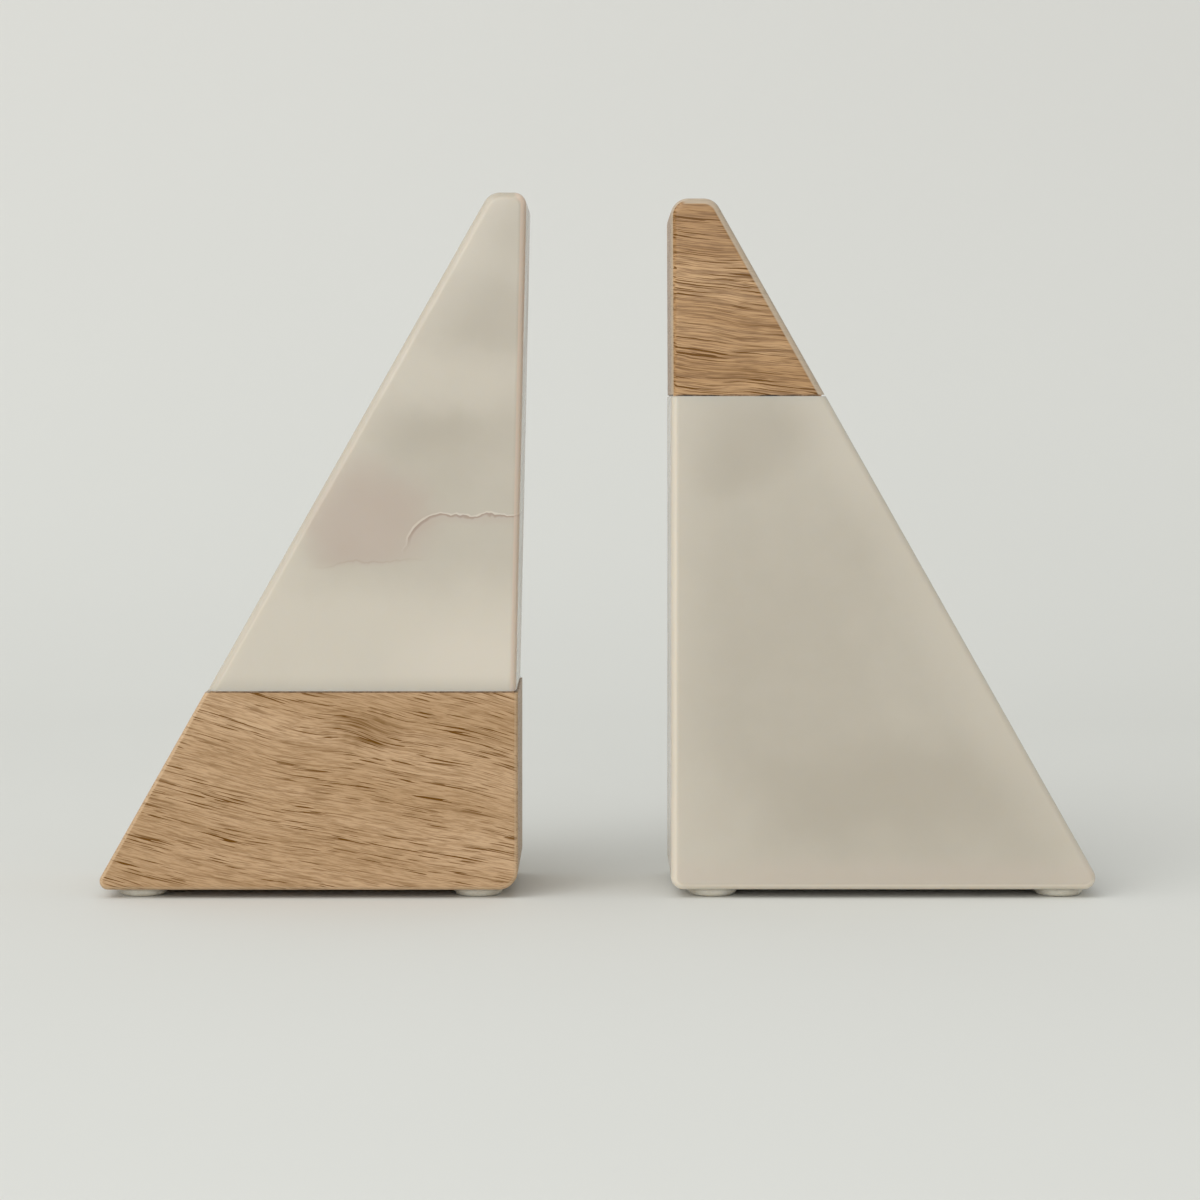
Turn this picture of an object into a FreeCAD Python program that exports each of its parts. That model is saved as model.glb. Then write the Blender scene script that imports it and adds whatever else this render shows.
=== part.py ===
"""A pair of wedge-shaped book ends, each made of one stone block and one wood block.

Each book end is a right triangle seen from the front, with its tip cut off and rounded. The left
one has a wood base and a stone top, the right one a stone base and a wood tip. Two fluted dowels
and a thin bed of epoxy hold the blocks together, and four stick-on bumpers carry each book end.

The frame is in millimetres: +X runs along the shelf, +Y from front to back, +Z up. The origin is
on the shelf, midway between the outer ends and midway between front and back.
Each block is drawn in the local frame of its own book end, where +x runs outward from the inner,
book-holding face. The left book end is that local frame turned half a turn about Z.
"""

import FreeCAD, Part
import math
import os
import Sketcher

SIDES = ("left", "right")
TOLERANCE = 1e-3

SIZES = {
    # Overall sizes
    "depth": 50.0,
    "gap": 38.7,
    "left_width": 105.9,
    "right_width": 107.5,
    "left_height": 178.7,
    "right_height": 177.2,
    "left_slope": 60.5,
    "right_slope": 60.6,
    # Height of the joint between the two blocks, and the epoxy bed that fills it
    "left_joint_height": 52.3,
    "right_joint_height": 127.3,
    "bed_thickness": 0.4,
    "bed_recess": 0.5,
    # The upper block against the lower one: how far it is set in at the joint, on the inner and
    # the outer side, and how far its inner face leans over at the top
    "left_tip_inner_inset": 0.5,
    "left_tip_outer_inset": 0.4,
    "left_tip_lean": 2.2,
    "right_tip_inner_inset": 0.1,
    "right_tip_outer_inset": 0.1,
    "right_tip_lean": 0.1,
    # Radii of the corners seen from the front
    "left_base_inner_corner": 5.0,
    "left_base_outer_corner": 2.2,
    "left_tip_inner_corner": 3.2,
    "left_tip_outer_corner": 4.5,
    "right_base_inner_corner": 3.2,
    "right_base_outer_corner": 3.0,
    "right_tip_inner_corner": 4.5,
    "right_tip_outer_corner": 4.6,
    # Radii of the rounding along the front and back outlines
    "left_base_edge": 1.2,
    "left_tip_edge": 2.0,
    "right_base_edge": 2.0,
    "right_tip_edge": 2.0,
    # Fluted dowels, half in each block
    "dowel_radius": 4.0,
    "dowel_length": 30.0,
    "dowel_chamfer": 0.8,
    "dowel_hole_radius": 4.1,
    "dowel_hole_depth": 16.0,
    "flute_radius": 0.4,
    "flute_count": 16,
    # Where the dowels stand: outward from the inner face, and off the middle of the depth
    "left_dowel_inner": 34.0,
    "left_dowel_outer": 62.0,
    "right_dowel_reach": 14.0,
    "right_dowel_spread": 12.0,
    # Stick-on bumper feet, each a silicone button on a film of adhesive
    "foot_height": 2.2,
    "foot_radius": 6.35,
    "foot_sole_radius": 4.4,
    "foot_lip": 0.5,
    "film_radius": 6.1,
    "film_thickness": 0.15,
    # Where the feet are: outward from the inner face, and off the middle of the depth
    "left_foot_inner": 10.3,
    "left_foot_outer": 95.9,
    "right_foot_inner": 10.7,
    "right_foot_outer": 99.0,
    "foot_spread": 16.0,
}

BLOCK_LABELS = {
    ("left", "base"): "left_wood_base",
    ("left", "tip"): "left_stone_top",
    ("right", "base"): "right_stone_base",
    ("right", "tip"): "right_wood_tip",
}

# Each dowel's place in its book end's local frame, as two formulas
DOWELS = {
    "left": {
        "inner": ("Dimensions.left_dowel_inner", "0"),
        "outer": ("Dimensions.left_dowel_outer", "0"),
    },
    "right": {
        "front": ("Dimensions.right_dowel_reach", "-Dimensions.right_dowel_spread"),
        "back": ("Dimensions.right_dowel_reach", "Dimensions.right_dowel_spread"),
    },
}


# Formulas and their values


def size(name):
    """Formula that reads one cell of the sheet."""
    return f"Dimensions.{name}"


def value(doc, formula):
    """The number that a formula gives now: millimetres or degrees."""
    result = doc.Dimensions.evalExpression(formula)
    return getattr(result, "Value", result)


def slope(side):
    """Angle between the sloping face and the shelf."""
    return f"{size(f'{side}_slope')} * 1 deg"


def base_corner(side):
    """Distance from the inner face to the sharp outer corner that the rounding cuts off."""
    radius = size(f"{side}_base_outer_corner")
    return f"({size(f'{side}_width')} + {radius} * (1 / tan({slope(side)} / 2) - 1))"


def on_slope(side, height):
    """Distance from the inner face to the sloping face at a height above the shelf."""
    return f"({base_corner(side)} - ({height} - {size('foot_height')}) / tan({slope(side)}))"


def joint_face(side, block):
    """Height of the face that a block turns to the epoxy bed."""
    sign = "-" if block == "base" else "+"
    return f"({size(f'{side}_joint_height')} {sign} {size('bed_thickness')} / 2)"


def inner_face(side):
    """X of the inner face, with the pair centred on the origin."""
    half_total = f"({size('left_width')} + {size('gap')} + {size('right_width')}) / 2"
    if side == "left":
        return f"({size('left_width')} - {half_total})"
    return f"({half_total} - {size('right_width')})"


def outward(side):
    """Direction of a book end's local x along the shelf."""
    return -1 if side == "left" else 1


# Building blocks shared by the sub-parts


def add_sheet(doc):
    """Write every driving dimension into the sheet, with its name as the alias."""
    sheet = doc.addObject("Spreadsheet::Sheet", "Dimensions")
    for row, (name, number) in enumerate(SIZES.items(), start=1):
        sheet.set(f"A{row}", name)
        sheet.set(f"B{row}", str(number))
        sheet.setAlias(f"B{row}", name)
    doc.recompute()


def add_body(doc, label):
    """An empty body whose label is also the name of its file."""
    body = doc.addObject("PartDesign::Body", label)
    body.Label = label
    return body


def add_sketch(body, name, plane_role, height=None):
    """A sketch on one of the body's origin planes, raised along the plane's normal if asked."""
    plane = next(item for item in body.Origin.OriginFeatures if item.Role == plane_role)
    sketch = body.newObject("Sketcher::SketchObject", name)
    sketch.AttachmentSupport = (plane, [""])
    sketch.MapMode = "FlatFace"
    if height:
        sketch.setExpression(".AttachmentOffset.Base.z", height)
    return sketch


def constrain(sketch, kind, *where, formula=None):
    """Add one constraint, and drive its value by a formula if it has one."""
    if formula is None:
        sketch.addConstraint(Sketcher.Constraint(kind, *where))
        return
    start = value(sketch.Document, formula)
    if kind == "Angle":
        start = math.radians(start)
    index = sketch.addConstraint(Sketcher.Constraint(kind, *where, start))
    sketch.setExpression(f"Constraints[{index}]", formula)


def draw_chain(sketch, corners):
    """Draw straight lines from corner to corner, and join them. Each corner is two formulas."""
    points = [
        FreeCAD.Vector(value(sketch.Document, x), value(sketch.Document, y), 0) for x, y in corners
    ]
    for start, finish in zip(points, points[1:]):
        sketch.addGeometry(Part.LineSegment(start, finish), False)
    for i in range(len(points) - 2):
        constrain(sketch, "Coincident", i, 2, i + 1, 1)


def draw_quadrilateral(sketch, corners):
    """Draw four sides through the corners, the first and the third of them level."""
    draw_chain(sketch, corners + corners[:1])
    constrain(sketch, "Coincident", 3, 2, 0, 1)
    constrain(sketch, "Horizontal", 0)
    constrain(sketch, "Horizontal", 2)


def draw_circle(sketch, radius, along, across):
    """Draw a circle whose radius and centre follow formulas."""
    doc = sketch.Document
    centre = FreeCAD.Vector(value(doc, along), value(doc, across), 0)
    circle = Part.Circle(centre, FreeCAD.Vector(0, 0, 1), value(doc, radius))
    index = sketch.addGeometry(circle, False)
    constrain(sketch, "Radius", index, formula=radius)
    constrain(sketch, "DistanceX", -1, 1, index, 3, formula=along)
    constrain(sketch, "DistanceY", -1, 1, index, 3, formula=across)


def draw_dowel_holes(sketch, side):
    """Draw the round outlines of a book end's two dowel holes."""
    for along, across in DOWELS[side].values():
        draw_circle(sketch, size("dowel_hole_radius"), along, across)


def add_pad(body, sketch, length, midplane=False):
    """Extrude a sketch by a formula's length, upward or half to each side."""
    pad = body.newObject("PartDesign::Pad", "Pad")
    pad.Profile = sketch
    pad.SideType = "Symmetric" if midplane else "One side"
    pad.setExpression("Length", length)
    body.Document.recompute()


def add_pocket(body, sketch, length, upward=False):
    """Cut a sketch into the body, downward unless asked, and make sure that it cuts."""
    volume_before = body.Shape.Volume
    pocket = body.newObject("PartDesign::Pocket", "Pocket")
    pocket.Profile = sketch
    pocket.Reversed = upward
    pocket.setExpression("Length", length)
    body.Document.recompute()
    if body.Shape.Volume > volume_before - TOLERANCE:
        raise RuntimeError(f"{body.Label}: the pocket cuts nothing")
    return pocket


def dress_edges(body, kind, name, amount_name, amount, is_wanted):
    """Add a Fillet or a Chamfer to every edge of the body that the test accepts."""
    base = body.Tip
    edges = [f"Edge{i}" for i, edge in enumerate(base.Shape.Edges, start=1) if is_wanted(edge)]
    if not edges:
        raise RuntimeError(f"{body.Label}: no edge found for {name}")
    dressing = body.newObject(f"PartDesign::{kind}", name)
    dressing.Base = (base, edges)
    dressing.setExpression(amount_name, amount)
    body.Document.recompute()


def round_corner(body, name, radius, corner):
    """Round the edge that runs from front to back through a corner, given as two formulas."""
    x, z = (value(body.Document, formula) for formula in corner)

    def passes_corner(edge):
        ends = [vertex.Point for vertex in edge.Vertexes]
        return len(ends) == 2 and all(math.hypot(end.x - x, end.z - z) < TOLERANCE for end in ends)

    dress_edges(body, "Fillet", name, "Radius", radius, passes_corner)


def round_outline(body, radius, joint_height):
    """Round the outlines of the front and the back face, except along the joint."""
    half_depth = value(body.Document, f"{size('depth')} / 2")
    joint_z = value(body.Document, joint_height)

    def is_on_outline(edge):
        ends = [vertex.Point for vertex in edge.Vertexes]
        on_face = all(abs(abs(end.y) - half_depth) < TOLERANCE for end in ends)
        across = edge.BoundBox.YLength > TOLERANCE
        along_joint = all(abs(end.z - joint_z) < TOLERANCE for end in ends)
        return on_face and not across and not along_joint

    dress_edges(body, "Fillet", "OutlineEdges", "Radius", radius, is_on_outline)


def place_block(body, side):
    """Stand a body drawn in a book end's local frame in its place along the shelf."""
    if side == "left":
        body.Placement.Rotation = FreeCAD.Rotation(FreeCAD.Vector(0, 0, 1), 180)
    body.setExpression(".Placement.Base.x", inner_face(side))


def place_round_piece(body, side, along, across, height):
    """Put a round piece at a place given outward from the inner face and from the middle."""
    body.setExpression(".Placement.Base.x", f"{inner_face(side)} + {outward(side)} * {along}")
    body.setExpression(".Placement.Base.y", across)
    body.setExpression(".Placement.Base.z", height)


# The sub-parts


def add_base_block(doc, side):
    """The lower block: a trapezoid with a level foot, a level joint face and one sloping side."""
    body = add_body(doc, BLOCK_LABELS[side, "base"])
    bottom = size("foot_height")
    top = joint_face(side, "base")
    sketch = add_sketch(body, "Outline", "XZ_Plane")
    draw_quadrilateral(
        sketch, [("0", bottom), (base_corner(side), bottom), (on_slope(side, top), top), ("0", top)]
    )
    constrain(sketch, "Vertical", 3)
    constrain(sketch, "PointOnObject", 0, 1, -2)
    constrain(sketch, "DistanceY", -1, 1, 0, 1, formula=bottom)
    constrain(sketch, "DistanceY", -1, 1, 2, 2, formula=top)
    constrain(sketch, "DistanceX", 0, 1, 0, 2, formula=base_corner(side))
    constrain(sketch, "Angle", 1, 1, 0, 2, formula=slope(side))
    add_pad(body, sketch, size("depth"), midplane=True)

    holes = add_sketch(body, "DowelHoles", "XY_Plane", height=top)
    draw_dowel_holes(holes, side)
    add_pocket(body, holes, size("dowel_hole_depth"))

    inner_radius = size(f"{side}_base_inner_corner")
    outer_radius = size(f"{side}_base_outer_corner")
    round_corner(body, "InnerCorner", inner_radius, ("0", bottom))
    round_corner(body, "OuterCorner", outer_radius, (base_corner(side), bottom))
    round_outline(body, size(f"{side}_base_edge"), top)
    place_block(body, side)


def add_tip_block(doc, side):
    """The upper block: it narrows to a short level top between two rounded shoulders."""
    body = add_body(doc, BLOCK_LABELS[side, "tip"])
    bottom = joint_face(side, "tip")
    top = size(f"{side}_height")
    inset = size(f"{side}_tip_inner_inset")
    lean = size(f"{side}_tip_lean")
    outer_bottom = f"({on_slope(side, bottom)} - {size(f'{side}_tip_outer_inset')})"
    outer_top = f"({on_slope(side, top)} - {size(f'{side}_tip_outer_inset')})"
    sketch = add_sketch(body, "Outline", "XZ_Plane")
    draw_quadrilateral(
        sketch, [(inset, bottom), (outer_bottom, bottom), (outer_top, top), (f"-{lean}", top)]
    )
    constrain(sketch, "DistanceX", -1, 1, 0, 1, formula=inset)
    constrain(sketch, "DistanceY", -1, 1, 0, 1, formula=bottom)
    constrain(sketch, "DistanceX", -1, 1, 0, 2, formula=outer_bottom)
    constrain(sketch, "DistanceY", -1, 1, 2, 2, formula=top)
    constrain(sketch, "DistanceX", 2, 2, -1, 1, formula=lean)
    constrain(sketch, "Angle", 1, 1, 0, 2, formula=slope(side))
    add_pad(body, sketch, size("depth"), midplane=True)

    holes = add_sketch(body, "DowelHoles", "XY_Plane", height=bottom)
    draw_dowel_holes(holes, side)
    add_pocket(body, holes, size("dowel_hole_depth"), upward=True)

    inner_radius = size(f"{side}_tip_inner_corner")
    outer_radius = size(f"{side}_tip_outer_corner")
    round_corner(body, "InnerShoulder", inner_radius, (f"-{lean}", top))
    round_corner(body, "OuterShoulder", outer_radius, (outer_top, top))
    round_outline(body, size(f"{side}_tip_edge"), bottom)
    place_block(body, side)


def add_joint_epoxy(doc, side):
    """The thin bed between the blocks, set back from their faces, with the dowels through it."""
    body = add_body(doc, f"{side}_joint_epoxy")
    recess = size("bed_recess")
    inner = f"({size(f'{side}_tip_inner_inset')} + {recess})"
    joint_height = size(f"{side}_joint_height")
    outer_inset = size(f"{side}_tip_outer_inset")
    outer = f"({on_slope(side, joint_height)} - {outer_inset} - 2 * {recess})"
    back = f"({size('depth')} / 2 - {recess})"
    front = f"-{back}"
    sketch = add_sketch(body, "Outline", "XY_Plane", height=joint_face(side, "base"))
    draw_quadrilateral(sketch, [(inner, front), (outer, front), (outer, back), (inner, back)])
    constrain(sketch, "Vertical", 1)
    constrain(sketch, "Vertical", 3)
    constrain(sketch, "DistanceX", -1, 1, 0, 1, formula=inner)
    constrain(sketch, "DistanceX", -1, 1, 0, 2, formula=outer)
    constrain(sketch, "DistanceY", -1, 1, 0, 1, formula=front)
    constrain(sketch, "DistanceY", -1, 1, 2, 1, formula=back)
    draw_dowel_holes(sketch, side)
    add_pad(body, sketch, size("bed_thickness"))
    place_block(body, side)


def add_dowel(doc, side, name):
    """A hardwood dowel with chamfered ends and shallow flutes that let the glue escape."""
    body = add_body(doc, f"{side}_dowel_{name}")
    sketch = add_sketch(body, "Round", "XY_Plane")
    draw_circle(sketch, size("dowel_radius"), "0", "0")
    add_pad(body, sketch, size("dowel_length"), midplane=True)

    def is_end_rim(edge):
        return edge.BoundBox.ZLength < TOLERANCE

    dress_edges(body, "Chamfer", "EndChamfers", "Size", size("dowel_chamfer"), is_end_rim)

    flute_sketch = add_sketch(body, "Flute", "XY_Plane", height=f"{size('dowel_length')} / 2")
    draw_circle(flute_sketch, size("flute_radius"), size("dowel_radius"), "0")
    flute = add_pocket(body, flute_sketch, size("dowel_length"))
    pattern = body.newObject("PartDesign::PolarPattern", "Flutes")
    pattern.Originals = [flute]
    pattern.Axis = (flute_sketch, ["N_Axis"])
    pattern.Angle = 360
    pattern.setExpression("Occurrences", size("flute_count"))
    body.Tip = pattern
    doc.recompute()

    along, across = DOWELS[side][name]
    place_round_piece(body, side, along, across, size(f"{side}_joint_height"))


def add_foot(doc, side, row, end):
    """A low silicone button: a short upright lip, then a round shoulder that runs into the sole."""
    body = add_body(doc, f"{side}_foot_{row}_{end}")
    radius = size("foot_radius")
    sole = size("foot_sole_radius")
    top = f"({size('foot_height')} - {size('film_thickness')})"
    lip = f"({top} - {size('foot_lip')})"
    sketch = add_sketch(body, "HalfSection", "XZ_Plane")
    draw_chain(sketch, [(sole, "0"), ("0", "0"), ("0", top), (radius, top), (radius, lip)])
    shoulder = sketch.addGeometry(shoulder_arc(doc, radius, sole, lip), False)
    constrain(sketch, "Coincident", 0, 2, -1, 1)
    constrain(sketch, "Horizontal", 0)
    constrain(sketch, "Vertical", 1)
    constrain(sketch, "Horizontal", 2)
    constrain(sketch, "Vertical", 3)
    constrain(sketch, "DistanceY", 1, 1, 1, 2, formula=top)
    constrain(sketch, "DistanceX", 2, 1, 2, 2, formula=radius)
    constrain(sketch, "DistanceX", 0, 2, 0, 1, formula=sole)
    constrain(sketch, "DistanceY", 3, 2, 3, 1, formula=size("foot_lip"))
    constrain(sketch, "Tangent", 0, 1, shoulder, 1)
    constrain(sketch, "Coincident", shoulder, 2, 3, 2)
    turn = body.newObject("PartDesign::Revolution", "Turn")
    turn.Profile = sketch
    turn.ReferenceAxis = (sketch, ["V_Axis"])
    turn.Angle = 360
    doc.recompute()
    place_round_piece(body, side, size(f"{side}_foot_{end}"), foot_row(row), "0")


def shoulder_arc(doc, radius, sole, lip):
    """The arc that leaves the sole's edge level and rises outward to the lip."""
    run = value(doc, f"{radius} - {sole}")
    rise = value(doc, lip)
    arc_radius = (run**2 + rise**2) / (2 * rise)
    centre = FreeCAD.Vector(value(doc, sole), arc_radius, 0)
    circle = Part.Circle(centre, FreeCAD.Vector(0, 0, 1), arc_radius)
    lip_angle = -math.asin((arc_radius - rise) / arc_radius)
    return Part.ArcOfCircle(circle, -math.pi / 2, lip_angle)


def add_foot_adhesive(doc, side, row, end):
    """The round film of adhesive that holds a foot under its block."""
    body = add_body(doc, f"{side}_foot_adhesive_{row}_{end}")
    sketch = add_sketch(body, "Round", "XY_Plane")
    draw_circle(sketch, size("film_radius"), "0", "0")
    add_pad(body, sketch, size("film_thickness"))
    height = f"{size('foot_height')} - {size('film_thickness')}"
    place_round_piece(body, side, size(f"{side}_foot_{end}"), foot_row(row), height)


def foot_row(row):
    """Y of the front or the back row of feet."""
    sign = "-" if row == "front" else ""
    return f"{sign}{size('foot_spread')}"


def add_book_end(doc, side):
    """All the pieces of one book end."""
    add_base_block(doc, side)
    add_tip_block(doc, side)
    add_joint_epoxy(doc, side)
    for name in DOWELS[side]:
        add_dowel(doc, side, name)
    for row in ("front", "back"):
        for end in ("inner", "outer"):
            add_foot(doc, side, row, end)
            add_foot_adhesive(doc, side, row, end)


# The document


def check(doc):
    """Stop if any object failed or any body isn't exactly one valid solid."""
    for item in doc.Objects:
        if "Invalid" in item.State or "Error" in item.State:
            raise RuntimeError(f"{item.Label} failed: {item.State}")
    for body in doc.findObjects("PartDesign::Body"):
        shape = body.Shape
        if shape.isNull() or not shape.isValid() or len(shape.Solids) != 1:
            raise RuntimeError(f"{body.Label} isn't one valid solid")


def export(doc):
    """Write each body to its own STEP file."""
    os.makedirs("parts", exist_ok=True)
    for body in doc.findObjects("PartDesign::Body"):
        body.Shape.exportStep(f"parts/{body.Label}.step")


def main():
    """Build the pair, check it and write it out."""
    doc = FreeCAD.newDocument("BookEnds")
    add_sheet(doc)
    for side in SIDES:
        add_book_end(doc, side)
    doc.recompute()
    check(doc)
    export(doc)


main()
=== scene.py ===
"""Looks of a pair of stone and wood book ends, standing on a seamless pale floor.

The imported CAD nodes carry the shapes. This script gives them their materials, and sets the floor, the
lamps and the camera. Lengths in the patterns of the materials are in millimetres of the row frame.
"""

import math

import bpy
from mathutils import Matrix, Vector


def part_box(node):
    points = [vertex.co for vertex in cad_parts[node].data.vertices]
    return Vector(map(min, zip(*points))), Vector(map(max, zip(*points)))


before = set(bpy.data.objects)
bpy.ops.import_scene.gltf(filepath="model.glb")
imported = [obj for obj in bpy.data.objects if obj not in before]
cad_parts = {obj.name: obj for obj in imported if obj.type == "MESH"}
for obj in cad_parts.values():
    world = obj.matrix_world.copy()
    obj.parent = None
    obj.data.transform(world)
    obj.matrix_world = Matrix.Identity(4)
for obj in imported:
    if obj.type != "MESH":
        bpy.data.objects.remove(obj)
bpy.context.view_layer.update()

MM = 0.001


# Small helpers


def colour(red, green, blue):
    """A linear colour from its display values, which run from 0 to 255."""

    def linear(level):
        share = level / 255
        return share / 12.92 if share <= 0.04045 else ((share + 0.055) / 1.055) ** 2.4

    return (linear(red), linear(green), linear(blue), 1.0)


def spot(node, along, up):
    """X and Z in millimetres of a point at two shares of a node's box."""
    low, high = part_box(node)
    return (low.x + along * (high.x - low.x)) / MM, (low.z + up * (high.z - low.z)) / MM


def heights(node, first, second):
    """Z in millimetres at two shares of the height of a node's box."""
    return spot(node, 0, first)[1], spot(node, 0, second)[1]


# Nearly all values of a noise lie between these
NOISE_SPAN = (0.3, 0.7)
# Edge strips: how far the normal's share along Y drops from plain face to full strip, the shares
# between which the strip ends at the side faces, and those over which a turn toward a side counts
STRIP_BLUR = 0.065
STRIP_END = (0.02, 0.25)
STRIP_TURN = (0.0, 0.25)


class Pattern:
    """A material's nodes, with short calls for the few kinds of node that the patterns use."""

    def __init__(self, name):
        self.material = bpy.data.materials.new(name)
        self.material.use_nodes = True
        self.nodes = self.material.node_tree.nodes
        self.links = self.material.node_tree.links
        self.nodes.clear()
        self.shader = self.nodes.new("ShaderNodeBsdfPrincipled")
        output = self.nodes.new("ShaderNodeOutputMaterial")
        self.links.new(self.shader.outputs["BSDF"], output.inputs["Surface"])
        coordinates = self.nodes.new("ShaderNodeTexCoord")
        self.place = self.scaled(coordinates.outputs["Object"], 1 / MM)
        self.x, self.y, self.z = self.parts(self.place)

    def put(self, source, socket):
        """Feed a socket from another node's output, or set it to a fixed value."""
        if isinstance(source, bpy.types.NodeSocket):
            self.links.new(source, socket)
        else:
            socket.default_value = source

    def set(self, **values):
        """Set the shader's own sockets, with _ for each space in a socket's name."""
        for name, value in values.items():
            self.put(value, self.shader.inputs[name.replace("_", " ")])

    def math(self, operation, first, second=0.0):
        """One step of arithmetic."""
        node = self.nodes.new("ShaderNodeMath")
        node.operation = operation
        self.put(first, node.inputs[0])
        self.put(second, node.inputs[1])
        return node.outputs[0]

    def add(self, first, *others):
        """The sum of two or more values."""
        for other in others:
            first = self.math("ADD", first, other)
        return first

    def times(self, first, *others):
        """The product of two or more values."""
        for other in others:
            first = self.math("MULTIPLY", first, other)
        return first

    def scaled(self, vector, scale):
        """A vector made longer by a factor."""
        node = self.nodes.new("ShaderNodeVectorMath")
        node.operation = "SCALE"
        self.put(vector, node.inputs[0])
        self.put(scale, node.inputs["Scale"])
        return node.outputs["Vector"]

    def parts(self, vector):
        """A vector's X, Y and Z."""
        node = self.nodes.new("ShaderNodeSeparateXYZ")
        self.put(vector, node.inputs[0])
        return node.outputs[0], node.outputs[1], node.outputs[2]

    def joined(self, x, y, z):
        """A vector of three values."""
        node = self.nodes.new("ShaderNodeCombineXYZ")
        for source, socket in zip((x, y, z), node.inputs):
            self.put(source, socket)
        return node.outputs[0]

    def ramp(self, value, low, high, to_low=0.0, to_high=1.0):
        """The value eased from one range to another, and held level outside it."""
        node = self.nodes.new("ShaderNodeMapRange")
        node.interpolation_type = "SMOOTHSTEP"
        for source, socket in zip((value, low, high, to_low, to_high), node.inputs):
            self.put(source, socket)
        return node.outputs[0]

    def noise(self, place, size, detail, seed, rough=0.5):
        """Cloudy noise, around one half, whose lumps are about size units wide."""
        node = self.nodes.new("ShaderNodeTexNoise")
        node.noise_dimensions = "4D"
        self.put(place, node.inputs["Vector"])
        self.put(seed, node.inputs["W"])
        self.put(1 / size, node.inputs["Scale"])
        self.put(detail, node.inputs["Detail"])
        self.put(rough, node.inputs["Roughness"])
        return node.outputs[0]

    def sway(self, place, size, reach, detail, seed):
        """Noise centred on zero that mostly stays within reach either way."""
        noise = self.noise(place, size, detail=detail, seed=seed)
        return self.times(self.add(noise, -0.5), 4 * reach)

    def mix(self, share, first, second):
        """The first colour with a share, from 0 to 1, of the second laid over it."""
        node = self.nodes.new("ShaderNodeMix")
        node.data_type = "RGBA"
        self.put(share, node.inputs[0])
        self.put(first, node.inputs[6])
        self.put(second, node.inputs[7])
        return node.outputs[2]

    def bump(self, height, distance, strength):
        """A normal that makes a height pattern from 0 to 1 stand out by distance millimetres."""
        node = self.nodes.new("ShaderNodeBump")
        self.put(height, node.inputs["Height"])
        self.put(strength, node.inputs["Strength"])
        self.put(distance * MM, node.inputs["Distance"])
        self.put(node.outputs[0], self.shader.inputs["Normal"])

    def distance(self, centre, radii, bend=0.0, power=2.0):
        """Distance from a centre (X, Z) in half-widths of an oval, with its outline shifted by bend."""
        x = self.math("ABSOLUTE", self.times(self.add(self.x, -centre[0], bend), 1 / radii[0]))
        z = self.math("ABSOLUTE", self.times(self.add(self.z, -centre[1], bend), 1 / radii[1]))
        total = self.add(self.math("POWER", x, power), self.math("POWER", z, power))
        return self.math("POWER", total, 1 / power)

    def edge_strip(self, toward=None, start=0.93):
        """1 on the roundings of the front and back outlines, or on those turned toward a side (X, Z).

        It sets in where the normal's share along Y has dropped to start.
        """
        geometry = self.nodes.new("ShaderNodeNewGeometry")
        across, depth, up = self.parts(geometry.outputs["Normal"])
        facing = self.math("ABSOLUTE", depth)
        strip = self.times(self.ramp(facing, start + STRIP_BLUR, start), self.ramp(facing, *STRIP_END))
        if toward:
            turned = self.add(self.times(across, toward[0]), self.times(up, toward[1]))
            strip = self.times(strip, self.ramp(turned, *STRIP_TURN))
        return strip


# Stone


GREY_BEIGE = colour(176, 168, 153)
CREAM = colour(186, 179, 165)
PALE_CREAM = colour(200, 193, 179)
PINK_BROWN = colour(181, 166, 153)
PINK_CREAM = colour(196, 184, 171)
VEIN_BROWN = colour(160, 143, 129)
VEIN_PALE = colour(210, 202, 188)
# Painted highlight colours for the stones' roundings
PAINTED_HIGHLIGHT_CREAM = colour(216, 207, 192)
PAINTED_HIGHLIGHT_PINK = colour(210, 189, 172)
SLOPE = math.radians(60.5)
# Each stone: its node, its random seed, and the size and reach of the wavering of its stains
LEFT_STONE, LEFT_SEED, LEFT_WAVER = "left_stone_top", 3.0, (16, 3.0)
RIGHT_STONE, RIGHT_SEED, RIGHT_WAVER = "right_stone_base", 11.0, (22, 5.0)
# Sizes in millimetres of the clouds and mottling all through the stone, and their shares
CLOUDS, CLOUDS_SHARE = 46, 0.4
MOTTLE, MOTTLE_SHARE = 8, 0.1
# Sizes in millimetres of the smears and ripples of the polish, the ripples' height, and the
# roughness from clear to smeared polish
SMEARS, RIPPLES, RIPPLE_HEIGHT = 22, 14, 0.03
POLISH = (0.16, 0.27)
# How far light soaks into the stone, in millimetres, and each colour's part of that
STONE_DEPTH, STONE_SOAK = 5, (1.0, 0.82, 0.6)
# Distances, in half-widths, over which a stain fades, and millimetres over which the slope's painted
# glow does
STAIN_FADE = (1.35, 0.2)
GLOW_FADE = (15, 1)
# The soft stains of each stone: tint, share, centre in shares of the block's box, and half-widths in
# millimetres
TOP_STAINS = (
    (GREY_BEIGE, 0.75, (0.85, 0.77), (30, 10)),
    (PALE_CREAM, 0.6, (0.8, 0.63), (22, 10)),
    (GREY_BEIGE, 0.7, (0.93, 0.96), (14, 13)),
    (GREY_BEIGE, 0.75, (0.62, 0.53), (18, 8)),
)
LOWER_STAINS = ((VEIN_PALE, 0.5, (0.84, 0.06), (22, 12)),)
BASE_STAINS = (
    (GREY_BEIGE, 0.8, (0.13, 0.86), (13, 8)),
    (GREY_BEIGE, 0.8, (0.21, 0.93), (16, 11)),
    (GREY_BEIGE, 0.75, (0.5, 0.19), (42, 15)),
    (PALE_CREAM, 0.5, (0.03, 0.06), (24, 30)),
)
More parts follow.
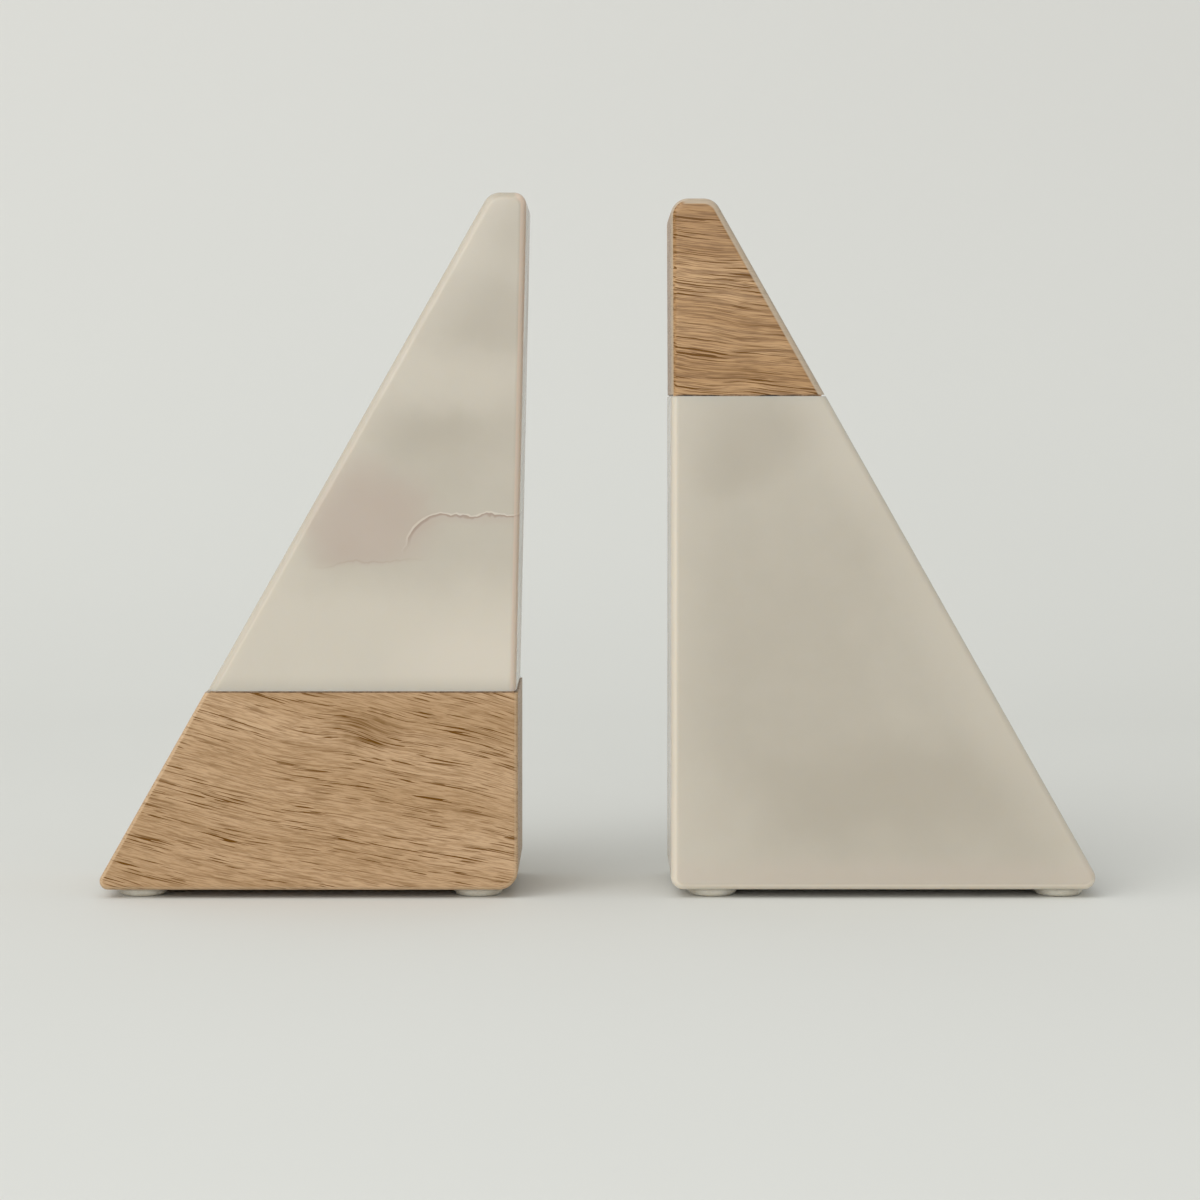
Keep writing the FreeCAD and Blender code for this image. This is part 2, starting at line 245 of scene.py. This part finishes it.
# Centres, in shares of the left stone's box, and half-widths of its cloud and of its vein's outline
CLOUD_CENTRE, CLOUD_SIZE = (0.5, 0.335), (17, 18)
VEIN_CENTRE, VEIN_SIZE = (0.889, 0.218), (22, 17.5)
VEIN_SQUARENESS = 4.0
# The cloud: how it fades outward, the height of its floor in the box, the floor's tilt, and the
# millimetres above the floor over which the cloud sets in and the crease comes and goes
CLOUD_FADE = (1.2, 0.35)
CLOUD_FLOOR, FLOOR_TILT = 0.285, -0.08
CLOUD_RISE = (-0.6, 1.6)
CREASE_IN, CREASE_OUT = (0.6, 1.1), (1.7, 1.2)
# The vein: heights in the box between which its ends fade, and the distances from its centre, in
# half-widths, over which its edge, soft band, dark line and pale rim come and go
VEIN_ENDS = (0.275, 0.33)
VEIN_EDGE, VEIN_BAND, VEIN_LINE = (1.0, 0.992), (0.84, 0.97), (0.955, 0.98)
RIM_IN, RIM_OUT = (0.992, 1.0), (1.024, 1.014)


def onyx_ground(p, seed):
    """The colour under a block's own marks: wide soft clouds and the faintest mottling."""
    clouds = p.noise(p.place, CLOUDS, detail=2, seed=seed)
    mottle = p.noise(p.place, MOTTLE, detail=3, seed=seed + 5)
    ground = p.mix(p.times(p.ramp(clouds, 0.36, 0.64), CLOUDS_SHARE), CREAM, GREY_BEIGE)
    return p.mix(p.times(p.ramp(mottle, 0.35, 0.75), MOTTLE_SHARE), ground, PALE_CREAM)


def add_stains(p, base, block, stains, waver):
    """Lay soft-edged ovals of other tints over the colour."""
    for tint, share, centre, radii in stains:
        patch = p.ramp(p.distance(spot(block, *centre), radii, waver), *STAIN_FADE)
        base = p.mix(p.times(patch, share), base, tint)
    return base


def painted_slope_glow(p, base, corner, side, waver):
    """Painted glow: paler colour along the sloping face, which passes through the corner (X, Z), for
    light shining through the translucent stone.
    """
    inward = p.times(p.add(p.x, -corner[0]), -side * math.sin(SLOPE))
    depth = p.add(inward, p.times(p.add(p.z, -corner[1]), -math.cos(SLOPE)), p.times(waver, 0.5))
    return p.mix(p.times(p.ramp(depth, *GLOW_FADE), 0.5), base, PALE_CREAM)


def finish_onyx(p, base, inward, highlight_tint, seed):
    """Polished stone that light soaks into, with painted highlights on the arrises turned inward and
    down, and faint smears.
    """
    smears = p.noise(p.place, SMEARS, detail=3, seed=seed + 20)
    ripples = p.noise(p.place, RIPPLES, detail=2, seed=seed + 30)
    # Painted highlights: the roundings turned inward and those turned down are made paler
    base = p.mix(p.times(p.edge_strip(toward=(inward, 0)), 0.6), base, highlight_tint)
    base = p.mix(p.times(p.edge_strip(toward=(0, -1)), 0.7), base, PAINTED_HIGHLIGHT_CREAM)
    p.set(
        Base_Color=base,
        Roughness=p.ramp(smears, *NOISE_SPAN, *POLISH),
        IOR=1.5,
        Subsurface_Weight=0.6,
        Subsurface_Radius=STONE_SOAK,
        Subsurface_Scale=STONE_DEPTH * MM,
    )
    p.bump(ripples, RIPPLE_HEIGHT, strength=0.5)
    return p.material


def pink_cloud(p, base, block, waver, border):
    """A pinkish brown cloud that ends below in a faint crease along its border."""
    cloud = p.distance(spot(block, *CLOUD_CENTRE), CLOUD_SIZE, p.times(waver, 1.6))
    above = p.add(border, -spot(block, 0, CLOUD_FLOOR)[1])
    cloud = p.times(p.ramp(cloud, *CLOUD_FADE), p.ramp(above, *CLOUD_RISE))
    base = p.mix(p.times(cloud, 0.75), base, PINK_BROWN)
    crease = p.times(p.ramp(above, *CREASE_IN), cloud, p.ramp(above, *CREASE_OUT))
    return p.mix(p.times(crease, 0.3), base, VEIN_BROWN)


def hooked_vein(p, base, block, tremble):
    """A brown vein with a pale rim, along the upper part of a squarish outline beside the cloud."""
    lens = p.distance(spot(block, *VEIN_CENTRE), VEIN_SIZE, tremble, power=VEIN_SQUARENESS)
    ends = p.ramp(p.add(p.z, tremble), *heights(block, *VEIN_ENDS))
    inside = p.times(p.ramp(lens, *VEIN_EDGE), ends)
    band = p.times(p.ramp(lens, *VEIN_BAND), inside)
    line = p.times(p.ramp(lens, *VEIN_LINE), inside)
    rim = p.times(p.ramp(lens, *RIM_IN), p.ramp(lens, *RIM_OUT), ends)
    base = p.mix(p.times(band, 0.5), base, PINK_BROWN)
    base = p.mix(p.times(line, 0.85), base, VEIN_BROWN)
    return p.mix(p.times(rim, 0.6), base, VEIN_PALE)


def onyx_top():
    """The left stone: soft bands, a pinkish cloud, a hooked vein beside it, and a paler lower part."""
    block, seed = LEFT_STONE, LEFT_SEED
    p = Pattern("onyx_top")
    waver = p.sway(p.place, *LEFT_WAVER, detail=3, seed=seed + 1)
    wide_tremble = p.sway(p.place, 9, 1.6, detail=3, seed=seed + 2)
    tremble = p.add(wide_tremble, p.sway(p.place, 2.5, 0.35, detail=2, seed=seed + 3))

    base = onyx_ground(p, seed)
    base = add_stains(p, base, block, TOP_STAINS, waver)
    base = painted_slope_glow(p, base, spot(block, 0, 0), -1, waver)

    lower = p.ramp(p.add(p.z, waver), *heights(block, 0.29, 0.15))
    base = p.mix(p.times(lower, 0.9), base, PALE_CREAM)
    base = add_stains(p, base, block, LOWER_STAINS, waver)
    foot = p.ramp(p.z, *heights(block, 0.035, 0.0))
    base = p.mix(p.times(foot, 0.5), base, GREY_BEIGE)

    border = p.add(p.z, p.times(p.x, FLOOR_TILT), tremble)
    base = pink_cloud(p, base, block, waver, border)
    base = hooked_vein(p, base, block, tremble)
    # Painted shade: the rounding turned up and to the left, toward the lamps, is darkened to grey beige
    base = p.mix(p.times(p.edge_strip(toward=(-1, 0.4)), 0.6), base, GREY_BEIGE)
    return finish_onyx(p, base, 1, PAINTED_HIGHLIGHT_PINK, seed)


def onyx_base():
    """The right stone: nearly even, with a painted glow along its sloping and inner sides, and darker
    clouds high up and low down.
    """
    block, seed = RIGHT_STONE, RIGHT_SEED
    p = Pattern("onyx_base")
    waver = p.sway(p.place, *RIGHT_WAVER, detail=3, seed=seed + 1)
    base = onyx_ground(p, seed)
    base = add_stains(p, base, block, BASE_STAINS, waver)
    base = painted_slope_glow(p, base, spot("right_wood_tip", 1, 0), 1, waver)
    # Painted glow: paler towards the inner upright side, for light shining through the stone
    painted_inner_glow = p.ramp(p.x, spot(block, 0.15, 0)[0], spot(block, 0.0, 0)[0])
    base = p.mix(p.times(painted_inner_glow, 0.45), base, PALE_CREAM)
    foot = p.ramp(p.add(p.z, p.times(waver, 0.4)), *heights(block, 0.08, 0.03))
    base = p.mix(p.times(foot, 0.4), base, PINK_CREAM)
    return finish_onyx(p, base, -1, PAINTED_HIGHLIGHT_CREAM, seed)


# Wood


BEECH_LIGHT = colour(206, 178, 140)
BEECH_DARK = colour(178, 144, 104)
PORE = colour(102, 66, 18)
# Painted highlight and reflection colours for the woods' roundings
PAINTED_HIGHLIGHT_TAN = colour(205, 178, 145)
PAINTED_REFLECTION_GREY = colour(188, 174, 154)
KNOT_PLACE, KNOT_SIZE = (0.64, 0.8), (14, 9)
# The layers of a board's marks: length and width of their lumps in millimetres, and the noise's detail
TONE = (90, 14, 3)
BANDS = (60, 2.6, 4)
FIBRES = (3.5, 0.26, 2)
THREADS = (24, 0.7, 2)
CROWDS = (36, 3.5, 2)
VESSELS = (10, 0.36, 1)
# The noise over which each layer shows, and how strongly it then does
BANDS_SHOW, BANDS_SHARE = (0.48, 0.62), 0.35
FIBRES_SHOW, FIBRES_SHARE = (0.4, 0.64), 0.42
STREAKS_SHOW, STREAKS_SHARE = (0.54, 0.66), 0.3
RAYS_SHOW = (0.42, 0.56)
CROWDS_SHOW = (0.42, 0.56)
PORES_BLUR, PORES_SHARE = 0.04, 0.92
# Roughness and specular level of the lacquer, from plain wood to its pores, and its relief
LACQUER_GLOSS, LACQUER_SHINE = (0.42, 0.62), (0.28, 0.05)
LACQUER_RELIEF = 0.06
# Of each board: its random seed, how many degrees its grain falls to the right, the length, reach and
# tremble of the grain's waves, how far its marks are drawn out, how strong they are, the noise level
# above which there is a pore, its two colours and its marks' colour, and its coat of lacquer
BOARDS = {
    "wood_base": {
        "seed": 2.0,
        "fall": 12.5,
        "wave": (60, 2.4, 0.05),
        "stretch": 1.0,
        "strength": 1.08,
        "porous": 0.592,
        "light": colour(196, 164, 128),
        "dark": colour(176, 143, 105),
        "line": colour(122, 87, 40),
        "coat": 0.1,
    },
    "wood_tip": {
        "seed": 7.0,
        "fall": 5.5,
        "wave": (26, 1.2, 0.13),
        "stretch": 1.7,
        "strength": 1.4,
        "porous": 0.568,
        "light": colour(192, 155, 111),
        "dark": colour(163, 124, 78),
        "line": colour(98, 61, 14),
        "coat": 0.3,
    },
}


def grain(p, along, across, length, width, detail, seed):
    """Noise drawn out along the grain, with lumps about length by width millimetres."""
    depth = 2.5 * width
    place = p.joined(p.times(along, 1 / length), p.times(across, 1 / width), p.times(p.y, 1 / depth))
    return p.noise(place, 1.0, detail=detail, seed=seed)


def grain_axes(p, fall, wave, seed):
    """Places along and across waving grain that falls to the right, and the fall's cosine and sine."""
    cosine, sine = math.cos(math.radians(fall)), math.sin(math.radians(fall))
    along = p.add(p.times(p.x, cosine), p.times(p.z, -sine))
    across = p.add(p.times(p.x, sine), p.times(p.z, cosine))
    drift = p.joined(along, across, p.times(p.y, 0.5))
    length, reach, tremble = wave
    slow = p.sway(drift, length, reach, detail=1, seed=seed)
    quick = p.sway(drift, 6, tremble, detail=1, seed=seed + 8)
    return along, p.add(across, slow, quick), cosine, sine


def board(name, knot=None):
    """Open-pored wood, which the grain runs round where there is a knot (X, Z)."""
    looks = BOARDS[name]
    seed, strength, porous = looks["seed"], looks["strength"], looks["porous"]
    p = Pattern(name)
    along, across, cosine, sine = grain_axes(p, looks["fall"], looks["wave"], seed)
    if knot:
        ragged = p.sway(p.place, 7, 3.0, detail=3, seed=seed + 1)
        near = p.ramp(p.distance(knot, KNOT_SIZE, ragged), 1.0, 0.0)
        reach = p.add(p.times(p.add(p.x, -knot[0]), cosine), p.times(p.add(p.z, -knot[1]), -sine))
        across = p.add(across, p.times(near, reach, 0.2))
    along = p.times(along, 1 / looks["stretch"])

    tone = grain(p, along, across, *TONE, seed=seed + 2)
    bands = grain(p, along, across, *BANDS, seed=seed + 3)
    fibres = grain(p, along, across, *FIBRES, seed=seed + 4)
    threads = grain(p, along, across, *THREADS, seed=seed + 5)
    streaks = p.ramp(threads, *STREAKS_SHOW)
    crowd = p.ramp(grain(p, along, across, *CROWDS, seed=seed + 6), *CROWDS_SHOW)
    vessels = grain(p, along, across, *VESSELS, seed=seed + 7)
    if knot:
        vessels = p.add(vessels, p.times(near, 0.05))
    pores = p.times(p.ramp(vessels, porous, porous + PORES_BLUR), p.add(p.times(crowd, 0.65), 0.35))

    base = p.mix(p.ramp(tone, *NOISE_SPAN), looks["dark"], looks["light"])
    base = p.mix(p.times(p.ramp(bands, *BANDS_SHOW), BANDS_SHARE * strength), base, looks["dark"])
    base = p.mix(p.times(p.ramp(fibres, *FIBRES_SHOW), FIBRES_SHARE * strength), base, looks["line"])
    base = p.mix(p.times(streaks, STREAKS_SHARE * strength), base, looks["line"])
    if knot:
        rays = p.add(p.times(p.ramp(threads, *RAYS_SHOW), 0.6), 0.36)
        base = p.mix(p.times(p.ramp(near, 0.05, 0.8), rays), base, looks["line"])
    base = p.mix(p.times(pores, PORES_SHARE * strength), base, PORE)
    hollows = p.add(p.times(pores, -0.8), p.times(streaks, -0.3), 1.0)
    return p, base, pores, hollows


def lacquer(p, base, pores, hollows, coat):
    """A thin satin lacquer over the wood, which sinks into the pores."""
    p.set(
        Base_Color=base,
        Roughness=p.ramp(pores, 0.0, 1.0, *LACQUER_GLOSS),
        Specular_IOR_Level=p.ramp(pores, 0.0, 1.0, *LACQUER_SHINE),
        Coat_Weight=coat,
        Coat_Roughness=0.2,
        Subsurface_Weight=0.06,
        Subsurface_Radius=(1.0, 0.6, 0.35),
        Subsurface_Scale=0.8 * MM,
    )
    p.bump(hollows, LACQUER_RELIEF, strength=0.6)
    return p.material


def wood_base():
    """The left wood: gently sloping grain, with a dark knot under the joint, and painted highlights on
    its arrises.
    """
    name = "wood_base"
    p, base, pores, hollows = board(name, knot=spot("left_wood_base", *KNOT_PLACE))
    # Painted highlight: the roundings of the front and back outlines are made paler
    base = p.mix(p.times(p.edge_strip(), 0.4), base, PAINTED_HIGHLIGHT_TAN)
    return lacquer(p, base, pores, hollows, BOARDS[name]["coat"])


def wood_tip():
    """The right wood: nearly level, wavy grain with strong lines, and painted reflections and
    highlights on its arrises.
    """
    name = "wood_tip"
    p, base, pores, hollows = board(name)
    # Painted reflection: the roundings turned right and up are made pale grey
    base = p.mix(p.times(p.edge_strip(toward=(1, 0.6)), 0.8), base, PAINTED_REFLECTION_GREY)
    # Painted highlight: the rounding of the inner side is made pale grey
    base = p.mix(p.times(p.edge_strip(toward=(-1, 0), start=0.66), 0.8), base, PAINTED_REFLECTION_GREY)
    return lacquer(p, base, pores, hollows, BOARDS[name]["coat"])


def dowel_wood():
    """Plain beech with short flecks along the dowel."""
    p = Pattern("dowel_beech")
    stretched = p.joined(p.x, p.y, p.times(p.z, 0.12))
    flecks = p.noise(stretched, 0.5, detail=2, seed=4.0)
    base = p.mix(p.ramp(flecks, 0.4, 0.7), BEECH_LIGHT, BEECH_DARK)
    p.set(Base_Color=base, Roughness=p.ramp(flecks, *NOISE_SPAN, 0.55, 0.68))
    p.bump(flecks, 0.04, strength=0.5)
    return p.material


# Small parts


EPOXY_LIGHT = colour(184, 150, 112)
EPOXY_BROWN = colour(138, 106, 72)
EPOXY_SHADE = colour(44, 28, 14)
SILICONE_CLEAN = colour(221, 213, 197)
SILICONE_DUSTY = colour(206, 197, 180)
FILM_CLEAR = colour(200, 195, 182)
FILM_BUBBLE = colour(216, 212, 201)
# The share of each joint's line that looks dark
LEFT_JOINT_DARK = 0.2
RIGHT_JOINT_DARK = 0.95


def epoxy(name, dark):
    """Set epoxy with specks in it, and with stretches that look as dark as the share dark says."""
    p = Pattern(name)
    specks = p.noise(p.place, 0.9, detail=3, seed=6.0)
    depth = p.noise(p.place, 12, detail=2, seed=7.0)
    base = p.mix(p.ramp(specks, 0.35, 0.7), EPOXY_LIGHT, EPOXY_BROWN)
    base = p.mix(p.times(p.ramp(depth, 0.42, 0.58), dark), base, EPOXY_SHADE)
    p.set(Base_Color=base, Roughness=p.ramp(specks, *NOISE_SPAN, 0.3, 0.5))
    p.bump(specks, 0.05, strength=0.6)
    return p.material


def silicone():
    """Milky clear silicone with a little dust on it."""
    p = Pattern("silicone")
    dust = p.noise(p.place, 1.6, detail=4, rough=0.6, seed=8.0)
    base = p.mix(p.ramp(dust, 0.35, 0.75), SILICONE_CLEAN, SILICONE_DUSTY)
    p.set(
        Base_Color=base,
        Roughness=p.ramp(dust, *NOISE_SPAN, 0.24, 0.42),
        IOR=1.41,
        Subsurface_Weight=0.8,
        Subsurface_Radius=(1.0, 0.9, 0.75),
        Subsurface_Scale=4 * MM,
    )
    p.bump(dust, 0.01, strength=0.4)
    return p.material


def film():
    """The adhesive's thin film, with small trapped bubbles."""
    p = Pattern("film")
    bubbles = p.noise(p.place, 0.7, detail=2, seed=9.0)
    base = p.mix(p.ramp(bubbles, 0.5, 0.7), FILM_CLEAR, FILM_BUBBLE)
    p.set(Base_Color=base, Roughness=p.ramp(bubbles, *NOISE_SPAN, 0.4, 0.6))
    p.bump(bubbles, 0.01, strength=0.4)
    return p.material


def give(material, names):
    """Put a material in the slots of CAD nodes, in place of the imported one."""
    for name in names:
        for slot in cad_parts[name].material_slots:
            slot.material = material


def nodes_with(word, without=None):
    """The names of the CAD nodes that hold one word and lack another."""
    return [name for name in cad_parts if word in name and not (without and without in name)]


def dress_nodes():
    """Give every CAD node its material."""
    give(onyx_top(), [LEFT_STONE])
    give(onyx_base(), [RIGHT_STONE])
    give(wood_base(), ["left_wood_base"])
    give(wood_tip(), ["right_wood_tip"])
    give(dowel_wood(), nodes_with("dowel"))
    give(epoxy("epoxy_left", LEFT_JOINT_DARK), ["left_joint_epoxy"])
    give(epoxy("epoxy_right", RIGHT_JOINT_DARK), ["right_joint_epoxy"])
    give(silicone(), nodes_with("foot", without="adhesive"))
    give(film(), nodes_with("adhesive"))


# Floor, in metres


FLOOR_COLOUR = colour(222, 223, 218)
FLOOR_PATCH = colour(223, 224, 219)
WALL_COLOUR = colour(219, 219, 214)
FLOOR_FRONT = -4.0
# A row of points between the floor's front and the start of the sweep
FLOOR_MIDDLE = -1.0
SWEEP_START = 0.45
SWEEP_RADIUS = 1.3
SWEEP_STEPS = 32
WALL_TOP = 2.2
HALF_WIDTH = 4.0
# Height over which the floor's colour turns into the wall's, in millimetres
WALL_BLEND = 420


def sweep_profile():
    """Depth and height of the seamless floor, from its front edge to the top of its wall."""
    points = [(FLOOR_FRONT, 0.0), (FLOOR_MIDDLE, 0.0), (SWEEP_START, 0.0)]
    for step in range(1, SWEEP_STEPS + 1):
        angle = math.pi / 2 * step / SWEEP_STEPS
        rise = SWEEP_RADIUS * (1 - math.cos(angle))
        points.append((SWEEP_START + SWEEP_RADIUS * math.sin(angle), rise))
    points.append((SWEEP_START + SWEEP_RADIUS, WALL_TOP))
    return points


def floor_paper():
    """Matt pale paper with a very faint unevenness, which darkens a little as it rises."""
    p = Pattern("floor_paper")
    patches = p.noise(p.place, 260, detail=2, seed=1.0)
    base = p.mix(p.ramp(patches, *NOISE_SPAN), FLOOR_COLOUR, FLOOR_PATCH)
    base = p.mix(p.ramp(p.z, 0, WALL_BLEND), base, WALL_COLOUR)
    p.set(Base_Color=base, Roughness=0.85, Specular_IOR_Level=0.2)
    return p.material


def make_floor():
    """The floor that runs up into the backdrop."""
    mesh = bpy.data.meshes.new("floor")
    rows = sweep_profile()
    vertices = [(x, y, z) for y, z in rows for x in (-HALF_WIDTH, HALF_WIDTH)]
    faces = [(2 * i, 2 * i + 1, 2 * i + 3, 2 * i + 2) for i in range(len(rows) - 1)]
    mesh.from_pydata(vertices, [], faces)
    mesh.polygons.foreach_set("use_smooth", [True] * len(mesh.polygons))
    mesh.materials.append(floor_paper())
    floor = bpy.data.objects.new("floor", mesh)
    bpy.context.scene.collection.objects.link(floor)


# Light


SKY_STRENGTH = 0.56
# Each lamp's place, its width and height, and its power in watts
LAMPS = {
    "key": ((-1.9, -3.7, 2.9), (4.5, 4.0), 90),
    "side": ((-3.3, -2.2, 3.1), (4.5, 4.0), 70),
    "fill": ((-0.3, -1.8, 0.45), (1.4, 0.5), 5.5),
}


def add_lamp(name, place, size, power):
    """A rectangular softbox that faces the origin."""
    lamp = bpy.data.lights.new(name, "AREA")
    lamp.shape = "RECTANGLE"
    lamp.size, lamp.size_y = size
    lamp.energy = power
    softbox = bpy.data.objects.new(name, lamp)
    softbox.location = place
    softbox.rotation_mode = "QUATERNION"
    softbox.rotation_quaternion = Vector(place).to_track_quat("Z", "Y")
    bpy.context.scene.collection.objects.link(softbox)


def make_light():
    """Even light from all round, and softboxes in front, mostly to the left."""
    world = bpy.data.worlds.new("studio")
    world.use_nodes = True
    background = world.node_tree.nodes["Background"]
    background.inputs["Color"].default_value = (1.0, 1.0, 1.0, 1.0)
    background.inputs["Strength"].default_value = SKY_STRENGTH
    bpy.context.scene.world = world
    for name, (place, size, power) in LAMPS.items():
        add_lamp(name, place, size, power)
    bpy.context.scene.view_settings.view_transform = "Standard"


# Camera


CAMERA_PLACE = (0.0006, -0.875, 0.1232)
SENSOR_WIDTH = 36
FOCAL_LENGTH = 100.9
LENS_SHIFT = -0.157
NEAR_CLIP = 0.01


def make_camera():
    """A level camera in front of the pair, shifted so that the pair is framed as in the photo."""
    lens = bpy.data.cameras.new("camera")
    lens.sensor_width = SENSOR_WIDTH
    lens.lens = FOCAL_LENGTH
    lens.shift_y = LENS_SHIFT
    lens.clip_start = NEAR_CLIP
    camera = bpy.data.objects.new("camera", lens)
    camera.location = CAMERA_PLACE
    camera.rotation_euler = (math.radians(90), 0, 0)
    bpy.context.scene.collection.objects.link(camera)
    bpy.context.scene.camera = camera


dress_nodes()
make_floor()
make_light()
make_camera()
